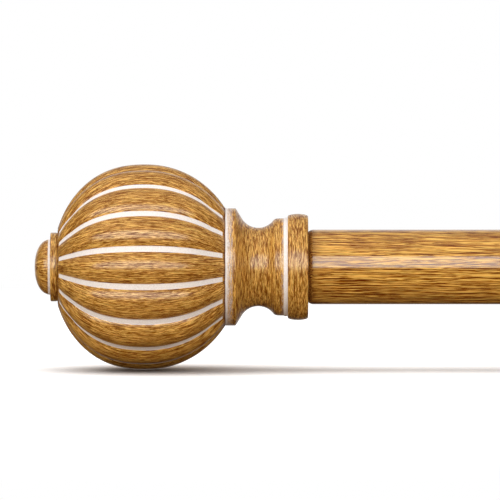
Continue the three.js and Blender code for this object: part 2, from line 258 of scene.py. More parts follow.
def set_attribute(mesh, name, values):
    values = np.asarray(values, np.float32)
    kind, key = ("FLOAT_VECTOR", "vector") if values.ndim == 2 else ("FLOAT", "value")
    attribute = mesh.attributes.get(name) or mesh.attributes.new(name, kind, "POINT")
    attribute.data.foreach_set(key, values.ravel())


def points_of(mesh):
    flat = np.empty(len(mesh.vertices) * 3, np.float32)
    mesh.vertices.foreach_get("co", flat)
    return flat.reshape(-1, 3).astype(float)


def travel_of(mesh):
    flat = np.empty(len(mesh.vertices), np.float32)
    mesh.attributes["travel"].data.foreach_get("value", flat)
    return flat.astype(float)


def moved(mesh, *matrices):
    for matrix in matrices:
        mesh.transform(matrix)
    return mesh


def combined(mesh, operation, *others):
    """mesh with others cut from it (DIFFERENCE) or joined to it (UNION)."""
    host = bpy.data.objects.new("host", mesh)
    bpy.context.scene.collection.objects.link(host)
    tools = []
    for other in others:
        tool = bpy.data.objects.new("tool", other)
        bpy.context.scene.collection.objects.link(tool)
        step = host.modifiers.new("step", "BOOLEAN")
        step.operation, step.solver, step.object = operation, "EXACT", tool
        tools.append(tool)
    bpy.context.view_layer.update()
    result = bpy.data.meshes.new_from_object(host.evaluated_get(bpy.context.evaluated_depsgraph_get()))
    for spare in [host, *tools]:
        bpy.data.objects.remove(spare)
    return result


def bar(start, end, radius, columns):
    """A plain round bar along +X."""
    return loft(turned([(start, 0), (start, radius), (end, radius), (end, 0)], columns))


def threaded(start, end, pitch, depth, fade):
    """A reshape that cuts a helical thread between two places, fading in and out over a length."""

    def reshape(along, radius, angles):
        phase = (along / pitch - angles / (2 * np.pi)) % 1
        ridge = np.abs(2 * phase - 1)
        share = np.clip(min(along - start, end - along) / fade, 0, 1)
        return radius - depth * share * np.clip(1.25 * ridge - 0.1, 0, 1)

    return reshape


def thread_rows(start, end, pitch, radius_at, per_turn=8):
    """Outline points close enough together to carry a thread."""
    count = max(2, round((end - start) / pitch * per_turn))
    return [(along, radius_at(along)) for along in np.linspace(start, end, count)]


def cross_cutter(top, width, depth):
    """The tapered cross of a screwdriver recess, sunk into a head whose top is at along = top."""
    arm, slot = width / 2, 0.55
    corner = [(arm, slot), (slot, slot), (slot, arm), (-slot, arm), (-slot, slot), (-arm, slot)]
    corner += [(-y, -z) for y, z in corner]
    rings = []
    for along, share in [(top + 1, 1.25), (top, 1.0), (top - depth, 0.45)]:
        tapered = [[v * share if abs(v) > slot else v for v in point] for point in corner]
        rings.append(np.array([(along, *point) for point in tapered], float))
    ends = [np.array([[r[0][0], 0.0, 0.0]]) for r in (rings[0], rings[-1])]
    return loft([ends[0], *rings, ends[1]])


# ---------------------------------------------------------------- materials


class Nodes:
    """A node tree, with short ways to add nodes and join them."""

    def __init__(self, tree):
        self.tree = tree

    def node(self, kind, inputs=(), **settings):
        made = self.tree.nodes.new(kind)
        for key, value in settings.items():
            setattr(made, key, value)
        for key, value in dict(inputs).items():
            if isinstance(value, bpy.types.NodeSocket):
                self.tree.links.new(value, made.inputs[key])
            else:
                made.inputs[key].default_value = value
        return made

    def math(self, operation, *values, clamp=False):
        inputs = dict(enumerate(values))
        return self.node("ShaderNodeMath", inputs, operation=operation, use_clamp=clamp).outputs[0]

    def vector(self, operation, *values):
        return self.node("ShaderNodeVectorMath", dict(enumerate(values)), operation=operation).outputs[0]

    def noise(self, vector, scale=1.0, detail=2.0, roughness=0.5):
        inputs = {"Vector": vector, "Scale": scale, "Detail": detail, "Roughness": roughness}
        return self.node("ShaderNodeTexNoise", inputs)

    def attribute(self, name):
        return self.node("ShaderNodeAttribute", attribute_name=name)

    def ramp(self, factor, *stops):
        made = self.node("ShaderNodeValToRGB", {"Fac": factor})
        elements = made.color_ramp.elements
        while len(elements) < len(stops):
            elements.new(0.5)
        for element, (position, color) in zip(elements, stops):
            element.position, element.color = position, (*color, 1)
        return made.outputs["Color"]

    def steps(self, value, low, high, to_low=0.0, to_high=1.0):
        inputs = {"Value": value, "From Min": low, "From Max": high, "To Min": to_low, "To Max": to_high}
        return self.node("ShaderNodeMapRange", inputs, interpolation_type="SMOOTHSTEP").outputs[0]

    def mix(self, factor, first, second, blend_type="MIX"):
        inputs = {"Factor": factor, 6: first, 7: second}
        return self.node("ShaderNodeMix", inputs, data_type="RGBA", blend_type=blend_type).outputs[2]


class Finish(Nodes):
    """A material built on the shader that a new material starts with."""

    def __init__(self, name, **settings):
        self.material = bpy.data.materials.new(name)
        self.material.use_nodes = True
        super().__init__(self.material.node_tree)
        self.shader = self.tree.nodes["Principled BSDF"]
        for socket, value in settings.items():
            self.shader.inputs[socket.replace("_", " ")].default_value = value

    def feed(self, socket, value):
        self.tree.links.new(value, self.shader.inputs[socket])

    def relief(self, height, millimetres):
        inputs = {"Height": height, "Strength": 1.0, "Distance": millimetres * MM}
        self.feed("Normal", self.node("ShaderNodeBump", inputs).outputs[0])


def wood(name, dark, middle, light, rough, contrast, relief, coat_rough, coat_ior, coats):
    """Grained wood look on metal or resin, with off-white paint where the paint attribute is 1, and painted
    shade where it is below zero.

    coats is how much lacquer there is on the dark streaks and on the light ones.
    """
    made = Finish(name, Coat_Roughness=coat_rough, Coat_IOR=coat_ior, Specular_IOR_Level=0.25)
    made.shader.inputs["Specular Tint"].default_value = (1, 0.7, 0.35, 1)
    grain = made.attribute("grain").outputs["Vector"]
    sway = made.noise(grain, scale=0.35)
    sway = made.vector("SUBTRACT", sway.outputs["Color"], (0.5, 0.5, 0.5))
    bent = made.vector("MULTIPLY_ADD", sway, (2.4, 2.4, 2.4), grain)
    streaks = made.noise(bent, detail=1.5, roughness=0.6).outputs[0]
    stretched = made.vector("MULTIPLY", bent, (0.35, 0.8, 0.8))
    long = made.noise(stretched, detail=1.0, roughness=0.6).outputs[0]
    shrunk = made.vector("MULTIPLY", bent, (2.2, 2.1, 2.1))
    flecks = made.noise(shrunk, detail=1.0, roughness=0.6).outputs[0]
    bands = made.noise(made.vector("MULTIPLY", grain, (0.4, 0.3, 0.3)), detail=1.0).outputs[0]

    tone = made.math("MULTIPLY_ADD", made.math("SUBTRACT", streaks, 0.5), contrast, 0.5)
    tone = made.math("MULTIPLY_ADD", made.math("SUBTRACT", long, 0.5), 0.55 * contrast, tone)
    tone = made.math("MULTIPLY_ADD", made.math("SUBTRACT", flecks, 0.5), 1.05 * contrast, tone)
    tone = made.math("MULTIPLY_ADD", made.math("SUBTRACT", bands, 0.5), 0.2 * contrast, tone)
    color = made.ramp(tone, (0.0, dark), (0.5, middle), (1.0, light))
    tints = made.noise(made.vector("MULTIPLY", bent, (0.8, 0.9, 0.9)), detail=1.0).outputs["Color"]
    hue = made.node("ShaderNodeSeparateColor", {"Color": tints}).outputs["Green"]
    tint = made.ramp(hue, (0.35, (1.03, 0.94, 0.8)), (0.65, (0.96, 1.05, 1.0)))
    color = made.mix(1.0, color, tint, "MULTIPLY")

    # Below zero the paint attribute is painted shade: it darkens the colour towards dark brown, at tube ends
    # and at the ball's joints.
    amount = made.attribute("paint").outputs["Fac"]
    shade = made.steps(amount, -1.0, 0.0)
    darker = made.ramp(shade, (0.0, (0.32, 0.19, 0.12)), (1.0, (1, 1, 1)))
    color = made.mix(1.0, color, darker, "MULTIPLY")

    spot = made.node("ShaderNodeTexCoord").outputs["Object"]
    edge = made.noise(spot, scale=2600.0, detail=3.0).outputs[0]
    paint = made.math("MULTIPLY_ADD", made.math("SUBTRACT", edge, 0.5), 0.35, amount)
    paint = made.math("MULTIPLY_ADD", made.math("SUBTRACT", streaks, 0.5), -0.8, paint)
    paint = made.steps(paint, 0.2, 0.8)
    chalk = made.ramp(edge, (0.3, (0.77, 0.69, 0.65)), (0.7, (0.91, 0.85, 0.83)))
    made.feed("Base Color", made.mix(paint, color, chalk))

    coat = made.steps(tone, -0.1, 0.7, *coats)
    # Painted shade also takes away most of the lacquer's reflection.
    coat = made.math("MULTIPLY", coat, made.math("MULTIPLY_ADD", shade, 0.8, 0.2))
    made.feed("Coat Weight", made.math("MULTIPLY", coat, made.math("MULTIPLY_ADD", paint, -0.7, 1.0)))
    worn = made.steps(streaks, 0.3, 0.7, rough + 0.1, rough - 0.05)
    made.feed("Roughness", made.math("MULTIPLY_ADD", paint, 0.45, worn, clamp=True))
    made.relief(tone, relief)
    return made.material


def metal(name, first, second, rough, scale, relief=0.0, stretch=(1, 1, 1), metallic=1.0):
    """Plated or bare metal whose colour and polish wander a little."""
    made = Finish(name, Metallic=metallic)
    spot = made.vector("MULTIPLY", made.node("ShaderNodeTexCoord").outputs["Object"], stretch)
    cloud = made.noise(spot, scale, detail=4.0, roughness=0.6).outputs[0]
    fine = made.noise(spot, scale * 9).outputs[0]
    blend = made.steps(made.math("MULTIPLY_ADD", fine, 0.3, cloud), 0.45, 0.85)
    made.feed("Base Color", made.mix(blend, (*first, 1), (*second, 1)))
    made.feed("Roughness", made.steps(fine, 0.3, 0.7, rough - 0.08, rough + 0.1))
    if relief:
        made.relief(fine, relief)
    return made.material


def moulded(name, first, second):
    """Satin moulded nylon with faint flow marks."""
    made = Finish(name, Specular_IOR_Level=0.45)
    spot = made.node("ShaderNodeTexCoord").outputs["Object"]
    cloud = made.noise(spot, scale=160.0, detail=3.0).outputs[0]
    made.feed("Base Color", made.mix(made.steps(cloud, 0.3, 0.7), (*first, 1), (*second, 1)))
    made.feed("Roughness", made.steps(cloud, 0.3, 0.7, 0.42, 0.58))
    made.relief(made.noise(spot, scale=4000.0).outputs[0], 0.02)
    return made.material


rod_wood = wood(
    "rod_wood_look", (0.12, 0.015, 0.0), (0.38, 0.125, 0.0), (0.88, 0.495, 0.12),
    rough=0.3, contrast=5.4, relief=0.002, coat_rough=0.1, coat_ior=2.12, coats=(1.0, 0.76),
)
finial_wood = wood(
    "finial_wood_look", (0.165, 0.042, 0.001), (0.375, 0.142, 0.009), (0.86, 0.475, 0.12),
    rough=0.4, contrast=4.1, relief=0.01, coat_rough=0.24, coat_ior=1.92, coats=(0.4, 1.0),
)
bracket_wood = wood(
    "bracket_wood_look", (0.13, 0.032, 0.001), (0.40, 0.155, 0.01), (0.76, 0.41, 0.1),
    rough=0.4, contrast=2.5, relief=0.008, coat_rough=0.18, coat_ior=1.6, coats=(0.8, 1.0),
)
zinc = metal(
    "zinc_plate", (0.42, 0.43, 0.45), (0.66, 0.67, 0.66),
    rough=0.34, scale=220.0, relief=0.006, metallic=0.65,
)
bare_steel = metal(
    "bare_steel", (0.30, 0.30, 0.31), (0.48, 0.48, 0.49),
    rough=0.34, scale=120.0, stretch=(0.1, 1, 1),
)
antique_brass = metal(
    "antique_brass", (0.30, 0.175, 0.060), (0.62, 0.42, 0.17),
    rough=0.36, scale=260.0, relief=0.008, metallic=0.8,
)
nylon = moulded("white_nylon", (0.66, 0.64, 0.60), (0.74, 0.725, 0.69))

# ---------------------------------------------------------------- showing a piece


def lengthwise(streak):
    """Grain along +X."""
    return lambda mesh: points_of(mesh) / np.array([streak[0], streak[1], streak[1]])


def round_the_axis(streak):
    """Grain that runs round +X on a turned surface."""

    def grain(mesh):
        points = points_of(mesh)
        along, across = streak
        return np.column_stack([travel_of(mesh) / across, points[:, 1] / along, points[:, 2] / along])

    return grain


def painted(places, low, high):
    """Paint by (along, amount) places, on the surface between two radii."""
    alongs, amounts = zip(*places)

    def paint(mesh):
        points = points_of(mesh)
        radii = np.hypot(points[:, 1], points[:, 2])
        return np.interp(points[:, 0], alongs, amounts) * (radii > low) * (radii < high)

    return paint


def show(node, mesh, where, finish, grain=None, paint=None, inside=None, sharp=38):
    """Puts a fine mesh in the place of a CAD node.

    inside is (test, material) for faces with another finish.
    """
    if grain:
        set_attribute(mesh, "grain", grain(mesh) + hash_of(node) % 97)
        set_attribute(mesh, "paint", paint(mesh) if paint else np.zeros(len(mesh.vertices)))
    mesh.materials.clear()
    mesh.materials.append(finish)
    if inside:
        test, other = inside
        mesh.materials.append(other)
        for face in mesh.polygons:
            face.material_index = int(test(face.center))
    mesh.transform(where)
    mesh.shade_smooth()
    mesh.set_sharp_from_angle(angle=math.radians(sharp))
    mesh.name = f"{node}_look"
    piece = bpy.data.objects.new(f"{node}_look", mesh)
    bpy.context.scene.collection.objects.link(piece)
    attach(piece, body_of[node])
    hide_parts(node)
    return piece


def hash_of(word):
    """A number that is the same for the same word in every run."""
    return sum(ord(letter) * (i + 7) for i, letter in enumerate(word))


def under(radius):
    """Test for faces nearer the axis than a radius."""
    return lambda centre: math.hypot(centre.y, centre.z) < radius


# ---------------------------------------------------------------- rod


def eased_end(at, inwards, radius):
    """The rolled edge of a tube's end. inwards is 1 where the tube lies further along, else -1."""
    shares = np.linspace(0, 1, 6)[::inwards]
    return [(at + inwards * EASED_LENGTH * t, radius - EASED_DROP * (1 - t) ** 2) for t in shares]


def outer_tube():
    length = (tube_high.x - tube_low.x) / MM
    bore = OUTER_RADIUS - TUBE_WALL
    path = outline(
        (0, bore),
        (0, OUTER_RADIUS - 0.6, 0.1),
        *eased_end(0, 1, OUTER_RADIUS),
        (PAINTED_SHADE_LENGTH, OUTER_RADIUS),
        (length - PAINTED_SHADE_LENGTH, OUTER_RADIUS),
        *eased_end(length, -1, OUTER_RADIUS),
        (length, OUTER_RADIUS - 0.6, 0.1),
        (length, MOUTH_RADIUS, 0.3),
        (length - MOUTH_LENGTH, MOUTH_RADIUS, 0.3),
        (length - 2 * MOUTH_LENGTH, bore, 0.3),
    )
    return loft(turned(path, 128), closed=True)


def inner_tube():
    length = (inner_high.x - inner_low.x) / MM
    bore = INNER_RADIUS - TUBE_WALL
    path = outline(
        (0, bore),
        (0, INNER_RADIUS, 0.1),
        (length - PAINTED_SHADE_LENGTH, INNER_RADIUS),
        *eased_end(length, -1, INNER_RADIUS),
        (length, INNER_RADIUS - 0.6, 0.1),
        (length, bore),
    )
    return loft(turned(path, 112), closed=True)


def glide_bush():
    spigot = INNER_RADIUS - TUBE_WALL - GAP
    flange = OUTER_RADIUS - TUBE_WALL - GAP
    path = outline(
        (-GAP - GLIDE_FLANGE, GLIDE_BORE, 0.3),
        (-GAP - GLIDE_FLANGE, flange, 0.5),
        (-GAP, flange, 0.5),
        (-GAP, spigot, 0.1),
        (GLIDE_SPIGOT, spigot, 0.8),
        (GLIDE_SPIGOT, GLIDE_BORE, 0.3),
    )
    return loft(turned(path, 64), closed=True)


# Painted shade at the tube ends, darkest at the very end: below zero the paint attribute darkens the colour,
# as a finial's collar beside it would shade it.
TUBE_SHADE = [(0.0, -0.8), (0.7, -0.72), (1.44, -0.45), (PAINTED_SHADE_LENGTH, 0)]


def make_rod():
    skin = lengthwise(ROD_STREAK)
    length = (tube_high.x - tube_low.x) / MM
    other_end = [(length - along, amount) for along, amount in reversed(TUBE_SHADE)]
    shade = painted([*TUBE_SHADE, *other_end], 10, 20)
    at_tube = place(tube_low.x, rod_axis.y, rod_axis.z)
    inside = (under(OUTER_RADIUS - EASED_DROP - 0.2), bare_steel)
    show("outer_tube", outer_tube(), at_tube, rod_wood, skin, shade, inside)
    length = (inner_high.x - inner_low.x) / MM
    shade = painted([(length - along, amount) for along, amount in reversed(TUBE_SHADE)], 10, 20)
    at_inner = place(inner_low.x, rod_axis.y, rod_axis.z)
    inside = (under(INNER_RADIUS - EASED_DROP - 0.2), bare_steel)
    show("inner_tube", inner_tube(), at_inner, rod_wood, skin, shade, inside)
    show("glide_bush", glide_bush(), at_inner, nylon)


# ---------------------------------------------------------------- finials


def neck():
    cove_radius = WAIST_RADIUS + COVE_SWEEP
    collar = [
        (SEAM + 7.3 * t, COLLAR_RADIUS - 0.55 * (2 * t - 1) ** 2 - 0.1 * t)
        for t in np.linspace(0, 0.957, 9)
    ]
    path = outline(
        (SEAM, STUD_BORE),
        (SEAM, 16.6, 0.3),
        (collar[0][0] + 0.1, collar[0][1] - 0.15),
        *collar[1:-1],
        (7.0, COLLAR_RADIUS - 0.65, 0.5),
        (7.05, LAND_RADIUS, 0.1),
        (7.3, LAND_RADIUS + 0.12),
        (7.7, LAND_RADIUS + 0.17),
        (8.1, LAND_RADIUS + 0.1),
        (8.3, LAND_RADIUS - 0.04),
        (8.4, LAND_RADIUS - 0.05),
        (10.9, LAND_RADIUS - 0.1, 0.8),
        *arc(COVE_ALONG, cove_radius, COVE_SWEEP, 216, 333, 28),
        (FLANGE_START, FLANGE_RADIUS, 0.3),
        *[(along, FLANGE_RADIUS) for along in (25.4, 25.9, 26.4, 26.9, 27.3)],
        (FLANGE_END, FLANGE_RADIUS, 0.6),
        (FLANGE_END, STUD_BORE),
    )
    return loft(turned(path, 160), closed=True)


def crest(along):
    """The ball's outline: radius, and the direction out of the surface, at a place on its axis."""
    neck_side = along < BALL_ALONG
    reach = BALL_REACH_TO_NECK if neck_side else BALL_REACH_TO_BUTTON
    power = BALL_POWER_TO_NECK if neck_side else BALL_POWER_TO_BUTTON
    share = abs(along - BALL_ALONG) / reach
    radius = BALL_RADIUS * math.sqrt(1 - share**power)
    slope = BALL_RADIUS**2 * power * share ** (power - 1) / (2 * radius * reach)
    out = Vector((-slope if neck_side else slope, 1)).normalized()
    return radius, out


def flute_columns():
    """Places across one flute: on the groove's floor from -1 to 1, then on the lobe from -1 to 1."""
    floor = [("floor", t) for t in (-1, -0.5, 0, 0.5)]
    near_edge = [1, 0.993, 0.97, 0.93, 0.87, 0.78, 0.66, 0.5, 0.32, 0.16]
    lobe = [("lobe", -t) for t in near_edge] + [("lobe", 0)] + [("lobe", t) for t in reversed(near_edge)]
    return floor + lobe


def ball():
    """The fluted ball, with its grain running along each lobe and paint on the floors between them."""
    start = FLANGE_END - SUNK
    turn_start = math.asin((start - BALL_ALONG) / BALL_REACH_TO_NECK)
    turn_end = math.asin((BALL_END - BALL_ALONG) / BALL_REACH_TO_BUTTON)
    turns = np.linspace(turn_start, turn_end, 110)
    columns = flute_columns()
    pitch = 2 * math.pi / FLUTES
    rings, grains, paints = [], [], []
    travel, before = 0.0, None
    for turn in turns:
        along = BALL_ALONG + (BALL_REACH_TO_NECK if turn < 0 else BALL_REACH_TO_BUTTON) * math.sin(turn)
        radius, out = crest(along)
        travel += (Vector((along, radius)) - before).length if before else 0.0
        before = Vector((along, radius))
        width = GROOVE_WIDTH * math.sqrt(radius / BALL_RADIUS)
        half_floor = width / (2 * radius)
        # Painted shade at the ball's ends, where the neck's flange and the button meet it: the paint amount
        # goes below zero there.
        seam = max(0.0, 1 - min(along - FLANGE_END, BALL_END - along) / SEAM_SHADE)
        end = min(along - start, BALL_END - along)
        depth = FLUTE_DEPTH * (radius / BALL_RADIUS) ** 0.4 * min(1.0, 0.06 + end / FLUTE_RUNOUT) ** 0.7
        row, row_grain, row_paint = [], [], []
        for flute in range(FLUTES):
            for kind, t in columns:
                groove = (flute - 0.5) * pitch + FLUTE_TURN
                if kind == "floor":
                    angle, drop = groove + t * half_floor, 1.0
                else:
                    middle, reach = groove + pitch / 2, pitch / 2 - half_floor
                    angle = middle + t * reach
                    drop = (1 - LOBE_EDGE) * t**2 + LOBE_EDGE * t**10
                place_along = along - drop * depth * out.x
                place_radius = radius - drop * depth * out.y
                row.append((place_along, -place_radius * math.sin(angle), place_radius * math.cos(angle)))
                across = (angle - groove - pitch / 2) * radius
                # The third number gives each lobe a stretch of grain of its own.
                row_grain.append((travel / BALL_STREAK[0], across / BALL_STREAK[1], flute * 7.3))
                amount = 1.0 if kind == "floor" else max(0.0, 1 - (1 - abs(t)) / PAINT_CREEP)
                row_paint.append(amount - (1 + amount) * seam)
        rings.append(np.array(row))
        grains.append(row_grain)
        paints.append(row_paint)
    count = len(rings[0])
    angles = np.arctan2(-rings[0][:, 1], rings[0][:, 2])
    ends = [ring(start, STUD_BORE, angles), ring(rings[-1][:, 0].min(), STUD_BORE, angles)]
    rings[0][:, 0] = start
    mesh = loft([ends[0], *rings, ends[1]], closed=True)
    blank = [[(0, 0, 0)] * count]
    grain = np.array(blank + grains + blank, float).reshape(-1, 3)
    paint = np.array([[0.0] * count] + paints + [[0.0] * count]).ravel()
    return mesh, grain, paint


def button():
    dome = []
    for t in np.linspace(0, 1, 22):
        share = math.sin(t * math.pi / 2)
        radius = BUTTON_RADIUS * (1 - share**BUTTON_POWER) ** (1 / BUTTON_POWER)
        dome.append((BUTTON_FLANGE_END + (BUTTON_TIP - BUTTON_FLANGE_END) * share, radius))
    rise = [p for p in dome if p[0] > BUTTON_RING_END + 0.2]
    path = outline(
        (STUD_END + GAP, 0),
        (STUD_END + GAP, STUD_BORE),
        (BUTTON_START, STUD_BORE),
        (BUTTON_START, BUTTON_FLANGE_RADIUS - 0.2),
        (BALL_END + 0.2, BUTTON_FLANGE_RADIUS - 0.1),
        (BALL_END + 0.75, BUTTON_FLANGE_RADIUS, 0.3),
        (BUTTON_FLANGE_END, BUTTON_FLANGE_RADIUS, 0.45),
        (BUTTON_FLANGE_END, BUTTON_RADIUS + 0.4),
        (BUTTON_FLANGE_END, BUTTON_RADIUS + 0.1),
        (BUTTON_RING_END - 0.1, BUTTON_RADIUS + 0.02),
        (BUTTON_RING_END + 0.02, BUTTON_RADIUS),
        *rise[:-1],
        (BUTTON_TIP, 0),
    )
    return loft(turned(path, 128))


def stud():
    """A stud whose thread ends where it leaves the tube."""
    thread_end = 1.0
    rows = thread_rows(STUD_START + 0.6, thread_end, STUD_PITCH, lambda along: STUD_RADIUS)
    path = [(STUD_START, 0), (STUD_START, STUD_RADIUS - 0.7), *rows, (STUD_END, STUD_RADIUS), (STUD_END, 0)]
    return loft(turned(path, 48, threaded(STUD_START, thread_end, STUD_PITCH, depth=0.5, fade=1.0)))


def hexagon(across, angles):
    """Radii of a hexagon this wide across its flats."""
    sixth = math.pi / 3
    return across / 2 / np.cos((angles + sixth / 2) % sixth - sixth / 2)


def plug(tube_radius):
    """Nylon plug with crush ribs along it and a pocket for the nut at its inner end."""
    radius = tube_radius - TUBE_WALL - GAP
    angles = circle(144)
    ribs = radius + 0.2 * np.clip(3 * np.cos(12 * angles) - 2, 0, 1)  # twelve narrow ones
    pocket = hexagon(NUT_ACROSS + 0.6, angles)
    pocket_end = -PLUG_LENGTH + NUT_THICKNESS + 2 * GAP
    rows = [
        (-PLUG_LENGTH, pocket),
        (-PLUG_LENGTH, radius - 0.8),
        (-PLUG_LENGTH + 2, radius),
        (-PLUG_LENGTH + 3, ribs),
        (-1.2, ribs),
        (-0.8, radius),
        (-GAP, radius - 0.4),
        (-GAP, STUD_BORE + 0.4),
        (-GAP - 0.4, STUD_BORE),
        (pocket_end, STUD_BORE),
        (pocket_end, pocket),
    ]
    return loft([ring(along, radii, angles) for along, radii in rows], closed=True)


def nut():
    angles = circle(96)
    flats = hexagon(NUT_ACROSS, angles)
    chamfer = np.minimum(flats, NUT_ACROSS / 2 + 0.05)
    start = -PLUG_LENGTH + GAP
    end = start + NUT_THICKNESS
    bore = threaded(start + 0.4, end - 0.4, STUD_PITCH, depth=-0.25, fade=0.3)
    rows = [
        ring(start, STUD_BORE + 0.35, angles),
        ring(start, chamfer, angles),
        ring(start + 0.35, flats, angles),
        ring(end - 0.35, flats, angles),
        ring(end, chamfer, angles),
        ring(end, STUD_BORE + 0.35, angles),
    ]
    inside = np.linspace(end - 0.4, start + 0.4, 34)
    rows += [ring(along, bore(along, STUD_BORE, angles), angles) for along in inside]
    return loft(rows, closed=True)


# How much paint there is along each painted piece. A thin wash is left where it was wiped.
NECK_PAINT = [
    (7.0, 0), (7.04, 1), (8.24, 1), (8.4, 0.45), (8.75, 0),
    (24.8, 0), (25.9, 0.36), (27.3, 0.5), (27.75, 0.9), (29, 1),
]
BUTTON_PAINT = [
    (BUTTON_FLANGE_END - 0.1, 0), (BUTTON_FLANGE_END - 0.05, 1),
    (BUTTON_RING_END - 0.07, 1), (BUTTON_RING_END + 0.05, 0),
]
COVER_PAINT = [(COVER_RIM - 0.1, 0), (COVER_RIM, 1), (COVER_RIM + 1.2, 1), (COVER_RIM + 1.4, 0)]


def button_grain(mesh):
    """Grain round the flange, and from the rim of the dome to its tip."""
    points = points_of(mesh)
    round_flange = round_the_axis(FINIAL_STREAK)(mesh)
    radii = np.maximum(np.hypot(points[:, 1], points[:, 2]), 0.05)
    spread = 0.8 * BUTTON_RADIUS / radii / FINIAL_STREAK[1]
    up = travel_of(mesh) / FINIAL_STREAK[0]
    up_dome = np.column_stack([up, points[:, 1] * spread, points[:, 2] * spread])
    return np.where(points[:, :1] > BUTTON_RING_END, up_dome, round_flange)


def make_finial(side, where, tube_radius):
    show(f"{side}_finial_neck", neck(), where, finial_wood, round_the_axis(FINIAL_STREAK),
         painted(NECK_PAINT, LAND_RADIUS - 0.5, FLANGE_RADIUS + 1))
    mesh, grain, paint = ball()
    show(f"{side}_finial_ball", mesh, where, finial_wood, lambda _: grain, lambda _: paint, sharp=60)
    show(f"{side}_finial_button", button(), where, finial_wood, button_grain,
         painted(BUTTON_PAINT, BUTTON_RADIUS - 1, BUTTON_RADIUS + 0.3))
    show(f"{side}_finial_stud", stud(), where, zinc)
    show(f"{side}_tube_plug", plug(tube_radius), where, nylon)
    show(f"{side}_plug_nut", nut(), where, zinc)


# ---------------------------------------------------------------- brackets


def screw_place(index):
    angle = index / WALL_SCREWS * 2 * math.pi
    return Matrix.Translation((0, WALL_SCREW_CIRCLE * math.sin(angle), WALL_SCREW_CIRCLE * math.cos(angle)))


def wall_plate():
    front = PLATE_THICKNESS
    disc = loft(turned(outline((0, 0), (0, PLATE_RADIUS, 0.3), (front, PLATE_RADIUS, 0.7), (front, 0)), 144))
    relief = ANCHOR_RIM + 0.4
    clear = WALL_SCREW_RADIUS + GAP
    head = WALL_SCREW_HEAD + GAP
    holes = []
    for index in range(WALL_SCREWS):
        path = [(-1, 0), (-1, relief), (0.6, relief), (0.6, clear), (1.1, clear)]
        path += [(front, head), (front + 1, head), (front + 1, 0)]
        holes.append(moved(loft(turned(path, 48)), screw_place(index)))
    return combined(disc, "DIFFERENCE", *holes)


def countersunk(top, length, shank, head, pitch, point):
    """A countersunk screw whose head's top is at along = top, with its thread and cross recess."""
    start = top - length
    cone = head - shank
    end = top - cone - 0.4

    def core(along):
        return min(shank, 0.35 + (along - start) / point * (shank - 0.35))

    rows = thread_rows(start + 0.3, end, pitch, core, per_turn=7)
    path = [(start, 0), *rows, (top - cone, shank), (top - 0.35, head), (top, head - 0.15), (top, 0)]
    body = loft(turned(path, 40, threaded(start, end, pitch, depth=0.28 * shank, fade=1.5)))
    return combined(body, "DIFFERENCE", cross_cutter(top, width=1.15 * head, depth=0.5 * head))


def anchor():
    """Ribbed nylon wall plug, split along most of its length."""
    bore = WALL_SCREW_RADIUS + GAP
    path = [(-ANCHOR_LENGTH, 1.7), (-ANCHOR_LENGTH, 2.5), (0.6 - ANCHOR_LENGTH, 2.8)]
    for along in np.arange(-25, -4, 3.0):
        path += [(along, 3.0), (along + 2.2, 3.45), (along + 2.3, 3.0)]
    path += [(-0.5, 3.3), (-0.4, ANCHOR_RIM), (GAP - 0.1, ANCHOR_RIM), (GAP, ANCHOR_RIM - 0.15), (GAP, bore)]
    path += [(-4, bore), (1 - ANCHOR_LENGTH, 2.15)]
    body = loft(turned(path, 40), closed=True)
    slit = bpy.data.meshes.new("slit")
    work = bmesh.new()
    across = Matrix.Translation((-17, 0, 0)) @ Matrix.Diagonal((21, 9, 0.7, 1))
    bmesh.ops.create_cube(work, size=1, matrix=across)
    work.to_mesh(slit)
    work.free()
    return combined(body, "DIFFERENCE", slit)


def arm_socket():
    bore = ARM_RADIUS + GAP
    start = PLATE_THICKNESS + GAP
    scored = SOCKET_RADIUS - 0.15
    path = outline(
        (start, 0),
        (start, SOCKET_RADIUS, 0.4),
        (SOCKET_END - 4.2, SOCKET_RADIUS),
        (SOCKET_END - 4, scored, 0.1),
        (SOCKET_END - 3.4, scored, 0.1),
        (SOCKET_END - 3.2, SOCKET_RADIUS),
        (SOCKET_END, SOCKET_RADIUS, 0.9),
        (SOCKET_END, bore, 0.3),
        (SOCKET_FLOOR, bore),
        (SOCKET_FLOOR, 0),
    )
    hole = bar(5, SOCKET_RADIUS + 1, ARM_LOCK_HOLE, 40)
    moved(hole, DOWN, Matrix.Translation((ARM_LOCK_ALONG, 0, 0)))
    return combined(loft(turned(path, 96)), "DIFFERENCE", hole)


def cover():
    hole = SOCKET_RADIUS + GAP
    path = outline(
        (GAP, COVER_RADIUS - 4, 0.2),
        (GAP, COVER_RADIUS, 0.5),
        (2.4, COVER_RADIUS + 0.1),
        (COVER_RIM, COVER_RADIUS, 1.1),
        (COVER_RIM + 0.05, COVER_RADIUS - 2, 0.1),
        (COVER_RIM + 1.15, COVER_RADIUS - 2.05),
        (COVER_RIM + 1.3, COVER_RADIUS - 2.1),
        (COVER_RIM + 1.7, COVER_RADIUS - 2.3, 0.2),
        *arc(17.2, 31.8, 11, 184, 250, 22),
        (14.0, 20.6, 0.3),
        (15.6, 18.6, 1.2),
        (COVER_DEPTH, 15.5, 0.6),
        (COVER_DEPTH, hole, 0.4),
        (12.5, hole),
        (12.5, 14),
        (8.4, 21.5),
        (3.8, 28.5),
    )
    return loft(turned(path, 160), closed=True)


def arm():
    back = SOCKET_FLOOR + 0.4
    front = PROJECTION - CRADLE_INNER - STRIP - GAP
    path = outline(
        (back, 0),
        (back, ARM_RADIUS, 0.5),
        (ARM_BEAD_START, ARM_RADIUS, 0.2),
        *arc(ARM_BEAD_START + 2.9, ARM_RADIUS - 0.3, 2.6, 170, 20, 14),
        (front - 0.8, ARM_RADIUS + 0.9, 0.2),
        (front, ARM_RADIUS + 0.9, 0.3),
        (front, ARM_BORE),
        (front - ARM_BORE_DEPTH, ARM_BORE),
        (front - ARM_BORE_DEPTH, 0),
    )
    return loft(turned(path, 96))


